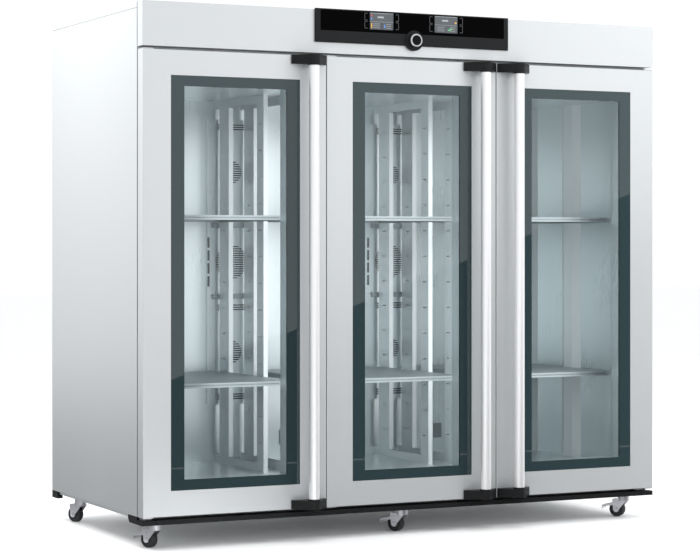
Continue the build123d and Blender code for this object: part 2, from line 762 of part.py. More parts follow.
# The three doors.
for name, centre, hinged in zip(door_names, door_centres, hinge_sides):
    hinge_edge = centre + hinged * door_width / 2
    free_edge = centre - hinged * door_width / 2
    pivot_x = hinge_edge - hinged * pin_from_edge

    with BuildPart() as door_shell:
        with BuildSketch(facing(0)):
            with Locations((centre, door_middle)):
                Rectangle(door_width, door_height)
        extrude(amount=-door_depth)
        fillet(door_shell.faces().sort_by(Axis.Y)[0].edges(), door_edge_radius)
        offset(amount=-sheet, openings=door_shell.faces().sort_by(Axis.Y)[-1])
        with BuildSketch(facing(0)):
            with Locations((centre, window_middle)):
                Rectangle(window_width + 2 * sheet, window_height + 2 * sheet)
        extrude(amount=-window_lip)
        with BuildSketch(facing(0)):
            with Locations((centre, window_middle)):
                Rectangle(window_width, window_height)
        extrude(amount=-window_lip, mode=Mode.SUBTRACT)
        for boss_bottom in (door_bottom, door_top - boss_height):
            with BuildSketch(Plane.XY.offset(boss_bottom)):
                with Locations((hinge_edge - hinged * (boss_width / 2 + 1), front_y + 1 + boss_depth / 2)):
                    Rectangle(boss_width, boss_depth)
            extrude(amount=boss_height)
        for hole_bottom in (door_bottom, door_top - pin_length - hinge_play):
            with BuildSketch(Plane.XY.offset(hole_bottom)):
                with Locations((pivot_x, pivot_y)):
                    Circle(pin_radius + running_play)
            extrude(amount=pin_length + hinge_play, mode=Mode.SUBTRACT)
    save(door_shell, f"{name}_door_shell")

    with BuildPart() as inner_frame:
        with BuildSketch(facing(door_depth - sheet)):
            with Locations((centre, door_middle)):
                Rectangle(door_width - 2 * sheet - 2 * seal_play, door_height - 2 * sheet - 2 * seal_play)
            with Locations((centre, window_middle)):
                Rectangle(plug_width - 2 * sheet, plug_height - 2 * sheet, mode=Mode.SUBTRACT)
        extrude(amount=-sheet)
        with BuildSketch(facing(door_depth - sheet)):
            with Locations((centre, window_middle)):
                Rectangle(plug_width, plug_height)
                Rectangle(plug_width - 2 * sheet, plug_height - 2 * sheet, mode=Mode.SUBTRACT)
        extrude(amount=-(door_reach_inside - door_depth + sheet))
        with BuildSketch(facing(door_reach_inside - sheet)):
            with Locations((centre, window_middle)):
                Rectangle(plug_width, plug_height)
                Rectangle(clear_width, clear_height, mode=Mode.SUBTRACT)
        extrude(amount=-sheet)
        with BuildSketch(facing(pane_recess + pane_thickness)):
            with Locations((centre, window_middle)):
                Rectangle(clear_width + 2 * sheet, clear_height + 2 * sheet)
                Rectangle(clear_width, clear_height, mode=Mode.SUBTRACT)
        extrude(amount=-(door_reach_inside - pane_recess - pane_thickness))
    save(inner_frame, f"{name}_door_inner_frame")

    with BuildPart() as glazing:
        with BuildSketch(facing(pane_recess)):
            with Locations((centre, window_middle)):
                Rectangle(window_width - 2 * pane_edge_play, window_height - 2 * pane_edge_play)
        extrude(amount=-pane_thickness)
        with BuildSketch(facing(door_reach_inside - pane_thickness - sheet)):
            with Locations((centre, window_middle)):
                Rectangle(clear_width - 2 * seal_play, clear_height - 2 * seal_play)
        extrude(amount=-pane_thickness)
    save(glazing, f"{name}_door_glazing")

    with BuildPart() as gasket:
        with BuildSketch(facing(door_depth)):
            with Locations((centre, window_middle)):
                Rectangle(gasket_outer_width, gasket_outer_height)
                Rectangle(
                    gasket_outer_width - 2 * gasket_width,
                    gasket_outer_height - 2 * gasket_width,
                    mode=Mode.SUBTRACT,
                )
        extrude(amount=-(body_gap - seal_play))
    save(gasket, f"{name}_door_gasket")

    bar_x = free_edge + hinged * bar_from_edge
    bar_y = front_y - bar_standoff
    with BuildPart() as handle_bar:
        with BuildSketch(Plane.XY.offset(door_bottom + bar_end_cover)):
            with Locations((bar_x, bar_y)):
                Circle(bar_radius)
                Circle(bar_radius - bar_wall, mode=Mode.SUBTRACT)
        extrude(amount=door_height - 2 * bar_end_cover)
    save(handle_bar, f"{name}_door_handle_bar")

    with BuildPart() as handle_ends:
        for low, nose_low, bore_low in (
            (door_bottom, door_bottom, door_bottom + bar_end_cover),
            (door_top - end_height, door_top - nose_height, door_top - nose_height),
        ):
            with BuildSketch(Plane.XY.offset(low)):
                with Locations((bar_x, front_y - end_foot / 2)):
                    Rectangle(end_width, end_foot)
                with Locations((bar_x, bar_y)):
                    Circle(nose_radius)
                make_hull()
            extrude(amount=end_height)
            with BuildSketch(Plane.XY.offset(nose_low)):
                with Locations((bar_x, bar_y)):
                    Circle(nose_radius)
            extrude(amount=nose_height)
            with BuildSketch(Plane.XY.offset(bore_low)):
                with Locations((bar_x, bar_y)):
                    Circle(bar_radius + bar_seat_play)
            extrude(amount=nose_height - bar_end_cover, mode=Mode.SUBTRACT)
    save(handle_ends, f"{name}_door_handle_ends")

# The castors: plates under the tray, and for each a fork, a wheel and, at the front, a brake.
castor_columns = [-half_width + castor_side_inset, 0.0, half_width - castor_side_inset]
column_names = ["left", "middle", "right"]
castor_rows = [("front", front_y + castor_front_y), ("rear", front_y + castor_rear_y)]
castor_headings = {"left": (-0.48, 0.88), "middle": (-0.55, 0.84), "right": (-0.62, 0.78)}
with BuildPart() as castor_plates:
    for row_name, row_y in castor_rows:
        for x in castor_columns:
            with BuildSketch(Plane.XY.offset(base_bottom - plate_thickness)):
                with Locations((x, row_y)):
                    RectangleRounded(plate_width, plate_length, 8)
                    with GridLocations(plate_width - 24, plate_length - 24, 2, 2):
                        Circle(plate_bolt_radius, mode=Mode.SUBTRACT)
            extrude(amount=plate_thickness)
            with BuildSketch(Plane.XY.offset(race_bottom)):
                with Locations((x, row_y)):
                    Circle(race_radius)
            extrude(amount=base_bottom - plate_thickness - race_bottom)
            with BuildSketch(Plane.XY.offset(race_bottom)):
                with Locations((x, row_y)):
                    Circle(kingpin_radius + running_play)
            extrude(amount=base_bottom - race_bottom, mode=Mode.SUBTRACT)
save(castor_plates, "castor_plates")

leg_offset = wheel_width / 2 + leg_play
leg_outer = leg_offset + leg_thickness
leg_foot_radius = 12.0
leg_head = 16.0
brake_x = castor_trail
brake_z = 53.0
brake_eye = 6.0
ear_inner = leg_outer + brake_play
ear_outer = ear_inner + leg_thickness
pedal_start = brake_x + 36.0
pedal_end = brake_x + 58.0
pedal_top = 45.0
pedal_lip = 14.0
for row_name, row_y in castor_rows:
    for column, x in zip(column_names, castor_columns):
        heading = castor_headings[column]
        ground = Plane(origin=(x, row_y, 0), x_dir=(heading[0], heading[1], 0), z_dir=(0, 0, 1))
        upright = Plane(origin=(x, row_y, 0), x_dir=ground.x_dir, z_dir=-ground.y_dir)
        braked = row_name == "front"

        with BuildPart() as fork:
            with BuildSketch(ground.offset(crown_top - crown_thickness)):
                Circle(race_radius)
                with Locations((castor_trail / 2, 0)):
                    Rectangle(castor_trail + 2 * leg_head, 2 * leg_outer)
            extrude(amount=crown_thickness)
            with BuildSketch(ground.offset(crown_top)):
                Circle(kingpin_radius)
            extrude(amount=base_bottom - plate_thickness / 2 - crown_top)
            for inner in (leg_offset, -leg_outer):
                with BuildSketch(upright.offset(inner)):
                    with BuildLine():
                        Polyline(
                            (-leg_head, crown_top - crown_thickness),
                            (castor_trail - leg_foot_radius, wheel_radius),
                            (castor_trail + leg_foot_radius, wheel_radius),
                            (castor_trail + leg_head, crown_top - crown_thickness),
                            close=True,
                        )
                    make_face()
                    with Locations((castor_trail, wheel_radius)):
                        Circle(leg_foot_radius)
                extrude(amount=leg_thickness)
            with BuildSketch(upright.offset(-leg_outer)):
                with Locations((castor_trail, wheel_radius)):
                    Circle(axle_radius)
            extrude(amount=2 * leg_outer)
            if braked:
                for pin_start in (leg_outer, -ear_outer):
                    with BuildSketch(upright.offset(pin_start)):
                        with Locations((brake_x, brake_z)):
                            Circle(brake_pin_radius)
                    extrude(amount=ear_outer - leg_outer)
        save(fork, f"castor_{row_name}_{column}_fork")

        with BuildPart() as wheel:
            with BuildSketch(upright.offset(-wheel_width / 2)):
                with Locations((castor_trail, wheel_radius)):
                    Circle(wheel_radius)
            extrude(amount=wheel_width)
            chamfer(wheel.edges().filter_by(GeomType.CIRCLE), 3)
            for side in (-1, 1):
                with BuildSketch(upright.offset(side * wheel_width / 2)):
                    with Locations((castor_trail, wheel_radius)):
                        Circle(wheel_radius - wheel_tread)
                        Circle(wheel_hub_radius, mode=Mode.SUBTRACT)
                extrude(amount=-side * wheel_dish, mode=Mode.SUBTRACT)
            with BuildSketch(upright.offset(-wheel_width / 2)):
                with Locations((castor_trail, wheel_radius)):
                    Circle(axle_radius + running_play)
            extrude(amount=wheel_width, mode=Mode.SUBTRACT)
        save(wheel, f"castor_{row_name}_{column}_wheel")

        if braked:
            with BuildPart() as brake:
                for ear in (ear_inner, -ear_outer):
                    with BuildSketch(upright.offset(ear)):
                        with BuildLine():
                            Polyline(
                                (brake_x, brake_z - brake_eye),
                                (pedal_end, pedal_top - 2 * leg_thickness),
                                (pedal_end, pedal_top),
                                (brake_x, brake_z + brake_eye),
                                close=True,
                            )
                        make_face()
                        with Locations((brake_x, brake_z)):
                            Circle(brake_eye)
                            Circle(brake_pin_radius + running_play, mode=Mode.SUBTRACT)
                    extrude(amount=leg_thickness)
                with BuildSketch(upright.offset(-ear_outer)):
                    with BuildLine():
                        Polyline(
                            (pedal_start, pedal_top - leg_thickness),
                            (pedal_end - leg_thickness, pedal_top - leg_thickness),
                            (pedal_end - leg_thickness, pedal_top - pedal_lip),
                            (pedal_end, pedal_top - pedal_lip),
                            (pedal_end, pedal_top),
                            (pedal_start, pedal_top),
                            close=True,
                        )
                    make_face()
                extrude(amount=2 * ear_outer)
            save(brake, f"castor_{row_name}_{column}_brake")
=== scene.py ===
# %% [markdown]
# A wide test chamber with three glass doors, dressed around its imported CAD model.
# The CAD already has every panel, shelf, hinge and castor at its real size, so most of the
# work here is on finishes and light. Small fittings that are too fine for the CAD, such as
# screws and the marks on the displays, are modelled as pieces that ride on its bodies.
# All lengths are in metres, and the front of the chamber faces -Y.

# %% The frame and its box
import json
import math

import bmesh
import bpy
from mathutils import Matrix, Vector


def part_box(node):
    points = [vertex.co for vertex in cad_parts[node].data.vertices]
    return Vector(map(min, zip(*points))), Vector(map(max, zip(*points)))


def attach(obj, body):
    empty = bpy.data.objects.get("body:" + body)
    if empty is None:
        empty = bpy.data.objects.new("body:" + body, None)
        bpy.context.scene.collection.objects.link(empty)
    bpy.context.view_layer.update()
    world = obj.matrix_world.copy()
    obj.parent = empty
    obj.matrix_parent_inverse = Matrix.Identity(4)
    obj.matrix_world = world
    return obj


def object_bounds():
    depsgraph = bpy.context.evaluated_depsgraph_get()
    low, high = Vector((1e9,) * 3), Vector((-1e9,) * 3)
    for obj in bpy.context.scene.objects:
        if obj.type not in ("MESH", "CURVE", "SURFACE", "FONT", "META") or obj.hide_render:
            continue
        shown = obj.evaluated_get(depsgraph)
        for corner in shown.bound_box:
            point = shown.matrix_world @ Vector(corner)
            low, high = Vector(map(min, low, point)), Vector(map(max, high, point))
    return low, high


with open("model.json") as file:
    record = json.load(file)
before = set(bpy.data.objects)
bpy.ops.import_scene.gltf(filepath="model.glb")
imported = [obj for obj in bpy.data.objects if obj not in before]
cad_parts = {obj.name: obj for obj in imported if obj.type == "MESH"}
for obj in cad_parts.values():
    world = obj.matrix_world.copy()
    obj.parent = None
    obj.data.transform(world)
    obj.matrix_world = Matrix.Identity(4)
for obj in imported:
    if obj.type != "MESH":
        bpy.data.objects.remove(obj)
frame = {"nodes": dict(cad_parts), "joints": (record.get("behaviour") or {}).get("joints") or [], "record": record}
cad_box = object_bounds()
nodes = frame["nodes"]
low, high = cad_box
print("CAD box", [round(c, 3) for c in low], [round(c, 3) for c in high])

# %% [markdown]
# Shader maths reads best as sums. A wire is one output socket, and adding, scaling or
# comparing wires adds the Math nodes that do it. A finish is one material, with a method
# that adds any other node from its type, its settings and the values of its sockets.


# %% Wires and finishes
class Wire:
    """An output socket that takes part in sums."""

    def __init__(self, finish, socket):
        self.finish = finish
        self.socket = socket

    def _math(self, operation, *values):
        return self.finish.add("ShaderNodeMath", {"operation": operation}, *values)

    def __add__(self, other):
        return self._math("ADD", self, other)

    def __sub__(self, other):
        return self._math("SUBTRACT", self, other)

    def __rsub__(self, other):
        return self._math("SUBTRACT", other, self)

    def __mul__(self, other):
        return self._math("MULTIPLY", self, other)

    def __truediv__(self, other):
        return self._math("DIVIDE", self, other)

    def __abs__(self):
        return self._math("ABSOLUTE", self)

    def __gt__(self, other):
        return self._math("GREATER_THAN", self, other)

    def either(self, other):
        return self._math("MAXIMUM", self, other)

    def wave(self, pitch):
        """Runs from 0 to 1 and back once in each pitch."""
        return self._math("PINGPONG", self / pitch, 0.5) * 2

    __radd__ = __add__
    __rmul__ = __mul__


class Finish:
    """A material with a Principled shader, and the nodes that drive it."""

    def __init__(self, name, **sockets):
        self.material = bpy.data.materials.new(name)
        self.material.use_nodes = True
        self.tree = self.material.node_tree
        self.shader = self.tree.nodes["Principled BSDF"]
        self.output = self.tree.nodes["Material Output"]
        self.set(**sockets)

    def set(self, **sockets):
        for key, value in sockets.items():
            self.plug(value, self.shader.inputs[key.replace("_", " ")])

    def plug(self, value, socket):
        if isinstance(value, Wire):
            self.tree.links.new(value.socket, socket)
        elif isinstance(value, tuple) and len(value) == 3 and socket.type == "RGBA":
            socket.default_value = (*value, 1.0)
        else:
            socket.default_value = value

    def add(self, kind, settings, *values, output=0, **named):
        node = self.tree.nodes.new(kind)
        for key, value in settings.items():
            setattr(node, key, value)
        for socket, value in zip(node.inputs, values):
            self.plug(value, socket)
        for key, value in named.items():
            self.plug(value, node.inputs[key.replace("_", " ")])
        return Wire(self, node.outputs[output])

    def place(self, stretch=(1, 1, 1), shift=(0, 0, 0)):
        """The point on the piece, in metres, moved and stretched."""
        point = self.add("ShaderNodeTexCoord", {}, output="Object")
        return self.add("ShaderNodeMapping", {}, point, shift, (0, 0, 0), stretch)

    def axes(self, shift=(0, 0, 0)):
        parts = self.add("ShaderNodeSeparateXYZ", {}, self.place(shift=shift))
        sockets = parts.socket.node.outputs
        return [Wire(self, sockets[i]) for i in range(3)]

    def noise(self, scale, stretch=(1, 1, 1), detail=3.0, roughness=0.5):
        return self.add(
            "ShaderNodeTexNoise",
            {},
            Vector=self.place(stretch),
            Scale=scale,
            Detail=detail,
            Roughness=roughness,
        )

    def between(self, share, first, second):
        """A colour that runs from first to second as share runs from 0 to 1."""
        mix = self.add("ShaderNodeMix", {"data_type": "RGBA"}, output="Result")
        node = mix.socket.node
        self.plug(share, node.inputs["Factor"])
        colours = [s for s in node.inputs if s.type == "RGBA"]
        self.plug(first, colours[0])
        self.plug(second, colours[1])
        return Wire(self, [s for s in node.outputs if s.type == "RGBA"][0])

    def relief(self, height, depth):
        """Raises the surface by up to depth metres."""
        bump = self.add("ShaderNodeBump", {}, Height=height, Distance=depth, Strength=1.0)
        self.set(Normal=bump)


# %% [markdown]
# The casing and the liner are stainless sheet, rolled with a fine upright grain. A picture of
# brushed metal would repeat and needs a file. Noise that is stretched upright gives the same
# streaks at any size, so it drives the roughness and, very weakly, the colour. Slow clouds
# on top keep a large panel from looking like a flat fill.


# %% Sheet steel
UPRIGHT_GRAIN = (1, 1, 0.03)
CLOUD_SCALE = 2.5


def sheet_steel(name, light, dark, metal, rough, grain, depth, uneven=0.10):
    finish = Finish(name, Metallic=metal)
    streaks = finish.noise(grain, UPRIGHT_GRAIN, 4.0, 0.6)
    clouds = finish.noise(CLOUD_SCALE, detail=2.0)
    finish.set(
        Base_Color=finish.between(streaks * 0.5 + clouds * 0.5, dark, light),
        Roughness=streaks * uneven + clouds * 0.06 + rough,
    )
    finish.relief(streaks, depth)
    return finish.material


casing_steel = sheet_steel(
    "casing_steel",
    light=(0.575, 0.595, 0.605),
    dark=(0.535, 0.555, 0.565),
    metal=0.5,
    rough=0.28,
    grain=420,
    depth=0.00002,
)
inner_steel = sheet_steel(
    "inner_steel",
    light=(0.63, 0.70, 0.72),
    dark=(0.61, 0.68, 0.70),
    metal=0.80,
    rough=0.24,
    grain=300,
    depth=0.000001,
    uneven=0.03,
)
# Paler than the liner: a painted highlight on the shelf uprights.
highlit_rail_steel = sheet_steel(
    "highlit_rail_steel",
    light=(0.72, 0.78, 0.80),
    dark=(0.67, 0.73, 0.75),
    metal=0.45,
    rough=0.34,
    grain=300,
    depth=0.000003,
    uneven=0.04,
)
# Darker than the liner: painted shade on the shelves and the duct rails.
shaded_shelf_steel = sheet_steel(
    "shaded_shelf_steel",
    light=(0.36, 0.42, 0.44),
    dark=(0.29, 0.34, 0.36),
    metal=0.60,
    rough=0.42,
    grain=350,
    depth=0.000004,
)
print("steels", [steel.name for steel in (casing_steel, inner_steel, highlit_rail_steel, shaded_shelf_steel)])

# %% [markdown]
# The bar handles are drawn tube, polished along their length, so their streaks run upright
# too. The knob's ring is chromed, with faint streaks from front to back. Stretching the
# noise along one axis or the other gives both from one finish.


# %% Bars and chrome
POLISH_DEPTH = 0.00001


def darker(colour, share):
    return tuple(c * share for c in colour)


def polished(name, colour, rough, grain, stretch, metal=1.0):
    finish = Finish(name, Metallic=metal)
    streaks = finish.noise(grain, stretch, 3.0)
    finish.set(
        Base_Color=finish.between(streaks, darker(colour, 0.93), colour),
        Roughness=streaks * 0.08 + rough,
    )
    finish.relief(streaks, POLISH_DEPTH)
    return finish.material


bar_steel = polished("bar_steel", (0.84, 0.84, 0.85), 0.34, 500, (1, 1, 0.02), 0.6)
bright_chrome = polished("bright_chrome", (0.52, 0.54, 0.56), 0.10, 300, (1, 0.05, 1))
print("polished", bar_steel.name, bright_chrome.name)

# %% [markdown]
# Moulded plastic and rubber are dull, with a fine eroded grain from the mould, so one noise
# makes both the pits and the roughness. The zinc plating on the castors and hinges is
# mottled, because its crystals lie in different directions. Voronoi cells look like those
# crystals, which plain noise does not.


# %% Plastics, rubber and plating
def moulded(name, colour, rough, grain=900.0, depth=0.00004, lift=1.25, gloss=0.5):
    finish = Finish(name, Specular_IOR_Level=gloss)
    pits = finish.noise(grain, detail=4.0)
    wear = finish.noise(12.0, detail=3.0)
    lighter = tuple(min(1.0, c * lift) for c in colour)
    finish.set(
        Base_Color=finish.between(wear * 0.6 + pits * 0.4, colour, lighter),
        Roughness=pits * 0.12 + rough,
    )
    finish.relief(pits, depth)
    return finish.material


SPANGLE_SCALE = 260.0
SPANGLE_DEPTH = 0.00003


def plated(name, colour, rough):
    finish = Finish(name, Metallic=0.85)
    spangle = finish.add(
        "ShaderNodeTexVoronoi",
        {},
        Vector=finish.place(),
        Scale=SPANGLE_SCALE,
        output="Distance",
    )
    film = finish.noise(40.0, detail=4.0)
    finish.set(
        Base_Color=finish.between(film, darker(colour, 0.82), colour),
        Roughness=spangle * 0.15 + film * 0.10 + rough,
    )
    finish.relief(spangle, SPANGLE_DEPTH)
    return finish.material


black_plastic = moulded("black_plastic", (0.008, 0.0085, 0.009), 0.42, gloss=0.15)
spacer_plastic = moulded("spacer_plastic", (0.50, 0.51, 0.50), 0.55)
fan_plastic = moulded("fan_plastic", (0.030, 0.031, 0.033), 0.45)
motor_black = moulded("motor_black", (0.05, 0.05, 0.055), 0.5, 400.0, 0.0001)
black_gloss = moulded(
    "black_gloss", (0.003, 0.003, 0.0035), 0.10, 500.0, 0.000005, gloss=0.08
)
grey_rubber = moulded("grey_rubber", (0.16, 0.17, 0.18), 0.6, 500.0)
grey_enamel = moulded("grey_enamel", (0.55, 0.57, 0.58), 0.35, 350.0, 0.00003, 1.08)
tyre_rubber = moulded("tyre_rubber", (0.030, 0.031, 0.034), 0.55, 700.0, 0.00008, gloss=0.2)
zinc_steel = plated("zinc_steel", (0.66, 0.66, 0.70), 0.25)
print("materials so far", len(bpy.data.materials))

# %% [markdown]
# A door's glass is printed dark round its rim, which hides the seal and the sealed edge. The
# print could be a ring of thin geometry, but it lies in the glass and has no thickness. So
# the rim is a mask on the distance from the door's middle, and one material per door has
# both the print and the clear middle. The clear part is a faint mirror that lets nearly all
# light through, which renders far sooner than refracting glass.

# %% Door glass
DOORS = ("left", "middle", "right")
CLEAR_HALF_WIDTH = 0.2005
CLEAR_HALF_HEIGHT = 0.69985
GLASS_ROUGHNESS = 0.015


def door_glass(door):
    near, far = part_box(f"{door}_door_glazing")
    middle = (near + far) / 2
    finish = Finish(f"{door}_door_glass", Metallic=1.0, Roughness=GLASS_ROUGHNESS)
    across, along, up = finish.axes(shift=(-middle.x, -middle.y, -middle.z))
    film = finish.noise(3.0, detail=2.0)
    finish.set(
        Base_Color=finish.between(film, (0.86, 0.90, 0.90), (0.80, 0.86, 0.86)),
        Alpha=film * 0.006 + 0.010,
    )
    rim = (abs(across) > CLEAR_HALF_WIDTH).either(abs(up) > CLEAR_HALF_HEIGHT)
    clear = Wire(finish, finish.shader.outputs["BSDF"])
    print_noise = finish.noise(200.0, detail=2.0)
    printed = finish.add(
        "ShaderNodeBsdfPrincipled",
        {},
        Base_Color=finish.between(print_noise, (0.016, 0.030, 0.034), (0.020, 0.036, 0.040)),
        Roughness=GLASS_ROUGHNESS,
        IOR=1.55,
    )
    mixed = finish.add("ShaderNodeMixShader", {}, rim, clear, printed)
    finish.plug(mixed, finish.output.inputs["Surface"])
    return finish.material


glass_of = {door: door_glass(door) for door in DOORS}
print("door glass", len(glass_of))

# %% [markdown]
# The control panel's glass is black on its inside, apart from two clear windows where small
# screens glow behind it. A mask on the place of the screens leaves those windows clear.


# %% Panel glass and screens
HALF_SCREEN = 0.0495
SCREEN_LINE_PITCH = 0.0012


def panel_glass_finish():
    """Black all over, with a clear window in front of each screen."""
    near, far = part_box("display_screens")
    middle = (near + far) / 2
    finish = Finish("panel_glass", Roughness=0.06, Specular_IOR_Level=0.01)
    across, along, up = finish.axes(shift=(-middle.x, -middle.y, -middle.z))
    film = finish.noise(8.0)
    black = finish.between(film, (0.0010, 0.0010, 0.0012), (0.0016, 0.0016, 0.0018))
    from_screen = abs(abs(across) - (far.x - HALF_SCREEN))
    beside = (from_screen > HALF_SCREEN).either(abs(up) > (far.z - near.z) / 2)
    finish.set(Base_Color=black, Alpha=beside * 0.99 + 0.01)
    return finish.material


def screen_finish():
    """Lighter towards the top, with fine lines in its gloss."""
    finish = Finish("display", Emission_Strength=0.6)
    near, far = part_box("display_screens")
    across, along, up = finish.axes()
    height = (up - near.z) / (far.z - near.z)
    lines = up.wave(SCREEN_LINE_PITCH) > 0.5
    colour = finish.between(height, (0.030, 0.040, 0.052), (0.060, 0.075, 0.090))
    finish.set(Base_Color=colour, Emission_Color=colour, Roughness=lines * 0.15 + 0.15)
    return finish.material


panel_glass = panel_glass_finish()
display = screen_finish()
print("panel", panel_glass.name, display.name)

# %% [markdown]
# Each CAD node takes the finish of its slot in the record, so that a new node is painted by
# its slot without a new line here. The shelves are duller than the liner and darker, with
# painted shade in their colour, and the uprights are paler, with a painted highlight in
# theirs, so they get steels of their own.

# %% Finishes on the CAD nodes
FINISH_OF_SLOT = {
    "casing_steel": casing_steel,
    "inner_steel": inner_steel,
    "bar_steel": bar_steel,
    "bright_chrome": bright_chrome,
    "zinc_steel": zinc_steel,
    "grey_enamel": grey_enamel,
    "black_plastic": black_plastic,
    "spacer_plastic": spacer_plastic,
    "fan_plastic": fan_plastic,
    "motor_black": motor_black,
    "black_gloss": black_gloss,
    "display": display,
    "panel_glass": panel_glass,
    "grey_rubber": grey_rubber,
    "grey_rubber_tyre": tyre_rubber,
}
slot_of = {part["node"]: part["material_slot"] for part in frame["record"]["subparts"]}


def paint(piece, material):
    piece.data.materials.clear()
    piece.data.materials.append(material)


for name, node in nodes.items():
    if slot_of[name] == "door_glass":
        paint(node, glass_of[name.split("_")[0]])
    else:
        paint(node, FINISH_OF_SLOT[slot_of[name]])
for name in ("shelves", "shelf_runners"):
    paint(nodes[name], shaded_shelf_steel)
paint(nodes["shelf_supports"], highlit_rail_steel)
print("painted", len(nodes), "nodes")

# %% [markdown]
# Small fittings are modelled by hand from primitives. Each starts at its own size, is shaped
# in edit mode, and ends with its object at the origin and its place in its mesh. What repeats
# is modelled once, copied to its places, and joined to one piece for each body it rides on.


# %% Helpers for modelling
def start(kind, name, **size):
    """Adds a primitive on its own and leaves it selected."""
    bpy.ops.object.select_all(action="DESELECT")
    getattr(bpy.ops.mesh, f"primitive_{kind}_add")(**size)
    piece = bpy.context.object
    piece.name = name
    return piece


def pick_faces(piece, wanted):
    """In edit mode, selects just the faces that pass the test."""
    bpy.ops.object.mode_set(mode="EDIT")
    bpy.ops.mesh.select_mode(type="FACE")
    bpy.ops.mesh.select_all(action="DESELECT")
    mesh = bmesh.from_edit_mesh(piece.data)
    for face in mesh.faces:
        face.select_set(wanted(face))
    bmesh.update_edit_mesh(piece.data)


def top_face(face):
    return face.normal.z > 0.9


def draw_out(height):
    """In edit mode, extrudes the selected faces upwards, or down if height is below 0."""
    bpy.ops.mesh.extrude_region_move(TRANSFORM_OT_translate={"value": (0, 0, height)})


def leave_edit():
    bpy.ops.object.mode_set(mode="OBJECT")


def soften(piece, width, segments=2):
    """Rounds the sharp edges of a piece."""
    bpy.context.view_layer.objects.active = piece
    bevel = piece.modifiers.new("edge", "BEVEL")
    bevel.width = width
    bevel.segments = segments
    bevel.limit_method = "ANGLE"
    bpy.ops.object.modifier_apply(modifier=bevel.name)


def settle(piece):
    """Puts a piece's place, turn and scale into its mesh."""
    bpy.ops.object.select_all(action="DESELECT")
    piece.select_set(True)
    bpy.context.view_layer.objects.active = piece
    bpy.ops.object.transform_apply(location=True, rotation=True, scale=True)
    return piece


def joined(parts, name):
    """Makes one piece of many."""
    bpy.ops.object.select_all(action="DESELECT")
    for part in parts:
        part.select_set(True)
    bpy.context.view_layer.objects.active = parts[0]
    if len(parts) > 1:
        bpy.ops.object.join()
    parts[0].name = name
    return settle(parts[0])


def spread(model, name, places, turns=((0, 0, 0),)):
    """Copies a model to many places, joins the copies, and removes the model."""
    copies = []
    for index, place in enumerate(places):
        copy = model.copy()
        copy.data = model.data.copy()
        copy.location = place
        copy.rotation_euler = turns[index % len(turns)]
        bpy.context.scene.collection.objects.link(copy)
        copies.append(copy)
    bpy.data.objects.remove(model)
    return joined(copies, name)


def dress(piece, body, material):
    """Paints a piece and fixes it to a body of the CAD."""
    paint(piece, material)
    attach(piece, body)
    return piece


TO_FRONT = (math.radians(90), 0, 0)
TO_BACK = (math.radians(-90), 0, 0)

# %% [markdown]
# A socket screw is a short cylinder with a recess. Its top face is inset and pushed in, and
# its rim is rounded. Cutting the recess with a boolean would give the same shape with a
# messier mesh. The same model serves the air duct and the rear panel, at two sizes.


# %% Screws
def socket_screw(radius, height):
    """A screw head that stands on the origin and points up."""
    head = start(
        "cylinder",
        "screw",
        vertices=20,
        radius=radius,
        depth=height,
        location=(0, 0, height / 2),
    )
    pick_faces(head, top_face)
    bpy.ops.mesh.inset(thickness=radius * 0.45)
    draw_out(-height * 0.6)
    leave_edit()
    soften(head, radius * 0.12)
    return settle(head)


DUCT_SCREW_INSET = 0.012
duct_low, duct_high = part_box("duct_cover")
duct_columns = [duct_low.x + DUCT_SCREW_INSET, -0.1, 0.1, duct_high.x - DUCT_SCREW_INSET]
duct_rows = [0.452, 0.735, 1.015, 1.295, 1.576]
duct_places = [(x, duct_low.y, z) for x in duct_columns for z in duct_rows]
duct_screws = spread(socket_screw(0.004, 0.0025), "duct_screws", duct_places, [TO_FRONT])
dress(duct_screws, "cabinet", zinc_steel)

REAR_SIDE_INSET = 0.02
REAR_END_INSET = 0.015
REAR_GAPS_ACROSS = 8
REAR_GAPS_UP = 7
rear_low, rear_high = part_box("rear_panel")
rear_left, rear_right = rear_low.x + REAR_SIDE_INSET, rear_high.x - REAR_SIDE_INSET
rear_places = []
for step in range(REAR_GAPS_ACROSS + 1):
    across = rear_left + step * (rear_right - rear_left) / REAR_GAPS_ACROSS
    for up in (rear_low.z + REAR_END_INSET, rear_high.z - REAR_END_INSET):
        rear_places.append((across, rear_high.y, up))
for step in range(1, REAR_GAPS_UP):
    up = rear_low.z + step * (rear_high.z - rear_low.z) / REAR_GAPS_UP
    rear_places += [(rear_left, rear_high.y, up), (rear_right, rear_high.y, up)]
rear_screws = spread(socket_screw(0.005, 0.003), "rear_panel_screws", rear_places, [TO_BACK])
dress(rear_screws, "cabinet", zinc_steel)
print("screws", len(duct_places), len(rear_places))

# %% [markdown]
# Two small plates on the back wall cover the sockets for sensors. Each is a bevelled plate
# with a round inlet on it. The inlet is a cylinder of its own whose front face is inset and
# pushed in, because a round hole in a square face would need many more cuts.


# %% Sensor sockets
def sensor_socket():
    plate = start("cube", "socket", size=1, location=(0, 0, 0.002))
    plate.scale = (0.038, 0.061, 0.004)
    settle(plate)
    soften(plate, 0.0012)
    inlet = start(
        "cylinder",
        "inlet",
        vertices=24,
        radius=0.011,
        depth=0.006,
        location=(0, 0.008, 0.003),
    )
    pick_faces(inlet, top_face)
    bpy.ops.mesh.inset(thickness=0.0025)
    draw_out(-0.004)
    leave_edit()
    soften(inlet, 0.0006)
    return joined([plate, inlet], "socket")


LINER_SHEET = 0.0015
SOCKET_HEIGHT = 0.297
back_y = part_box("liner_walls")[1].y - LINER_SHEET
socket_places = [(-0.1235, back_y, SOCKET_HEIGHT), (0.5955, back_y, SOCKET_HEIGHT)]
sockets = spread(sensor_socket(), "sensor_sockets", socket_places, [TO_FRONT])
socket_grey = moulded("socket_grey", (0.20, 0.235, 0.245), 0.45)
dress(sockets, "cabinet", socket_grey)
print("sensor sockets", len(socket_places))
